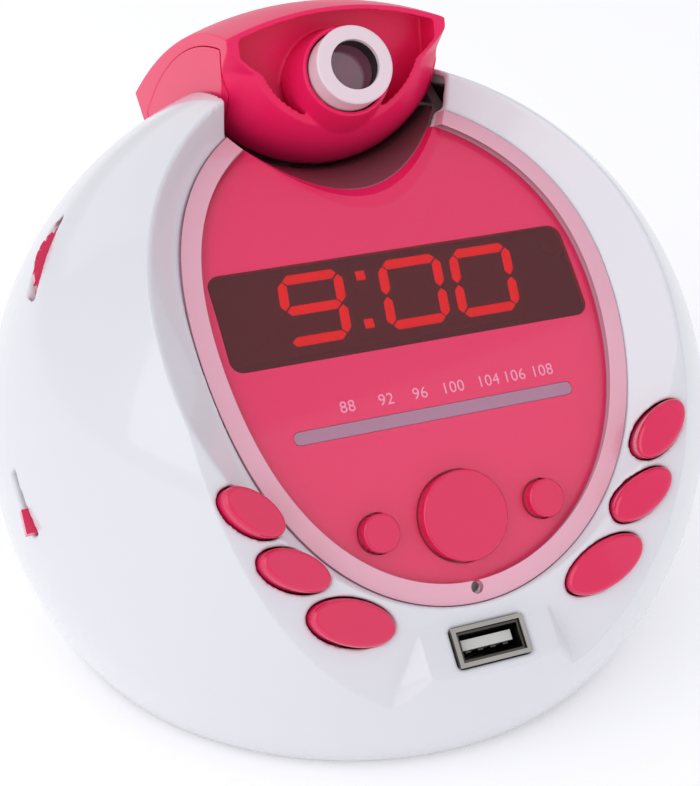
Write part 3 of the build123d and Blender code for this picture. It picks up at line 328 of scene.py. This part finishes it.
for name, obj in nodes.items():
    # what a finger moves is pink, and whatever is left inside is black
    plain = keyPaint if name.endswith(("_button", "_wheel", "_slider")) else blackPaint
    dress(obj, finishes.get(name, plain))
    smooth(obj)
print("nodes dressed")

# softened pieces: the CAD mesh with its edges rounded off
# voxel is in millimetres, rounds is how far it is rubbed, ball tells whether it lies on the ball
softness = {
    "shellSoft": {"from": ["front_shell"], "voxel": 0.33, "rounds": 14, "ball": True, "body": "body",
                  "slot": "white_gloss"},
    "coverSoft": {"from": ["rear_cover"], "voxel": 0.42, "rounds": 6, "ball": True, "body": "body",
                  "slot": "white_gloss"},
    "headSoft": {"from": ["projector_housing", "projector_bezel"], "voxel": 0.20, "rounds": 16,
                 "ball": False, "body": "head", "slot": "head_pink"},
}
rubbing = {"weld": 1e-6, "factor": 0.5}  # the weld is in metres
ballFit = {"reach": 0.08, "under": 0.03, "sink": 0.02}  # millimetres


def onBall(mesh):
    # brings what lies close to the ball's surface exactly onto it, so that its shine has no ripples
    points = np.empty(len(mesh.vertices) * 3)
    mesh.vertices.foreach_get("co", points)
    points = points.reshape(-1, 3) / mm - centre
    away = np.linalg.norm(points, axis=1)
    share = np.clip(2 - np.abs(away - stance["ball"] + ballFit["under"]) / ballFit["reach"], 0, 1)[:, None]
    points += points * ((stance["ball"] - ballFit["sink"]) / away - 1)[:, None] * share
    mesh.vertices.foreach_set("co", ((points + centre) * mm).ravel())
    mesh.update()


def soften(name, recipe):
    parts = bmesh.new()
    for source in recipe["from"]:
        parts.from_mesh(nodes[source].data)
    bmesh.ops.remove_doubles(parts, verts=parts.verts, dist=rubbing["weld"])
    obj = linkObject(name, meshOf(name, parts))
    skin = obj.modifiers.new("skin", "REMESH")
    skin.mode, skin.voxel_size, skin.use_smooth_shade = "VOXEL", recipe["voxel"] * mm, True
    rub = obj.modifiers.new("rub", "SMOOTH")
    rub.factor, rub.iterations = rubbing["factor"], recipe["rounds"]
    mesh = finalMesh(obj)
    obj.modifiers.clear()
    obj.data = mesh
    if recipe["ball"]:
        onBall(mesh)
    mesh.shade_smooth()
    dress(obj, finishes[recipe["from"][0]])
    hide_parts(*recipe["from"])
    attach(obj, recipe["body"])
    print(name, "has", len(mesh.vertices), "points")


for name, recipe in softness.items():
    soften(name, recipe)

# the tuning scale's numbers, laid on the curved dial under the lens
# millimetres, but for the weld, which is in metres; spots are places across
numbers = {"tall": 2.9, "sink": 1.56, "thick": 0.03, "row": -10.3, "spacing": 1.05, "fineness": 6,
           "weld": 1e-7, "spots": {"88": -16.0, "92": -8.7, "96": -2.2, "100": 4.2, "104": 11.2,
                                   "106": 16.4, "108": 22.0}}


def dialNumbers(recipe):
    joined = bmesh.new()
    for word, u in recipe["spots"].items():
        curve = bpy.data.curves.new("word", "FONT")
        curve.body, curve.size, curve.resolution_u = word, recipe["tall"], recipe["fineness"]
        curve.align_x = curve.align_y = "CENTER"
        curve.extrude, curve.space_character = recipe["thick"] / 2, recipe["spacing"]
        obj = linkObject("word", curve)
        mesh = finalMesh(obj)
        for vertex in mesh.vertices:
            x, y, z = vertex.co
            v = recipe["row"] + y
            vertex.co = place(u + x, v, faceHeight(v) - recipe["sink"] + z)
        joined.from_mesh(mesh)
        bpy.data.objects.remove(obj)
    bmesh.ops.remove_doubles(joined, verts=joined.verts, dist=recipe["weld"])
    obj = dress(linkObject("dialNumbers", meshOf("dialNumbers", joined)), markPaint)
    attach(obj, "body")


dialNumbers(numbers)
print("numbers printed")

# floor, light and camera
studio = {"span": 6, "floor": (0.95, 0.95, 0.955), "floorDark": (0.93, 0.93, 0.94), "floorCloud": 2.0,
          "floorRough": 0.6, "floorGlow": 0.17, "glowColour": (1.0, 1.0, 1.0), "sky": (0.95, 0.955, 1.0),
          "skyPower": 0.74, "aim": (0, 0, 0.05)}
bpy.ops.mesh.primitive_plane_add(size=studio["span"])
floor = bpy.context.object
floor.name = "floor"
floorGraph = Graph("paleFloor")
floorTone = floorGraph.mix(floorGraph.noise(studio["floorCloud"]), studio["floorDark"], studio["floor"])
floor.data.materials.append(floorGraph.finish(floorGraph.principled({
    "Base Color": floorTone, "Roughness": studio["floorRough"], "Emission Color": studio["glowColour"],
    "Emission Strength": studio["floorGlow"]})))

world = bpy.data.worlds.new("studio")
world.use_nodes = True
sky = world.node_tree.nodes["Background"].inputs
sky["Color"].default_value = opaque(studio["sky"])
sky["Strength"].default_value = studio["skyPower"]
bpy.context.scene.world = world
bpy.context.scene.view_settings.view_transform = "Standard"  # keeps the pinks as bright as they are set

# places and sizes in metres, power in watts
lamps = {
    "keyLight": {"spot": (-0.97, -0.44, 0.70), "size": 1.30, "power": 5.9},
    "fillLight": {"spot": (0.70, -0.75, 0.50), "size": 1.10, "power": 1.2},
    "backLight": {"spot": (-0.20, 0.90, 0.70), "size": 1.10, "power": 1.0},
}
for name, lamp in lamps.items():
    light = bpy.data.lights.new(name, "AREA")
    light.size, light.energy = lamp["size"], lamp["power"]
    obj = linkObject(name, light)
    obj.location = lamp["spot"]
    obj.rotation_mode = "QUATERNION"
    obj.rotation_quaternion = (Vector(studio["aim"]) - obj.location).to_track_quat("-Z", "Y")

# spot is in millimetres from the ball's centre
view = {"spot": (-121.6, -279.3, 171.5), "right": (0.921, -0.388, 0.021), "up": (0.168, 0.448, 0.878),
        "lens": 80.24, "sensor": 36.0, "shift": (0.0045, -0.0045), "nearest": 0.01}
cameraData = bpy.data.cameras.new("camera")
cameraData.lens, cameraData.sensor_width = view["lens"], view["sensor"]
cameraData.shift_x, cameraData.shift_y = view["shift"]
cameraData.clip_start = view["nearest"]
camera = linkObject("camera", cameraData)
right = Vector(view["right"]).normalized()
upward = Vector(view["up"])
upward = (upward - right * right.dot(upward)).normalized()
turn = Matrix((right, upward, right.cross(upward))).transposed().to_4x4()
camera.matrix_world = Matrix.Translation(Vector(tuple(centre + np.array(view["spot"]))) * mm) @ turn
bpy.context.scene.camera = camera
print("studio set")
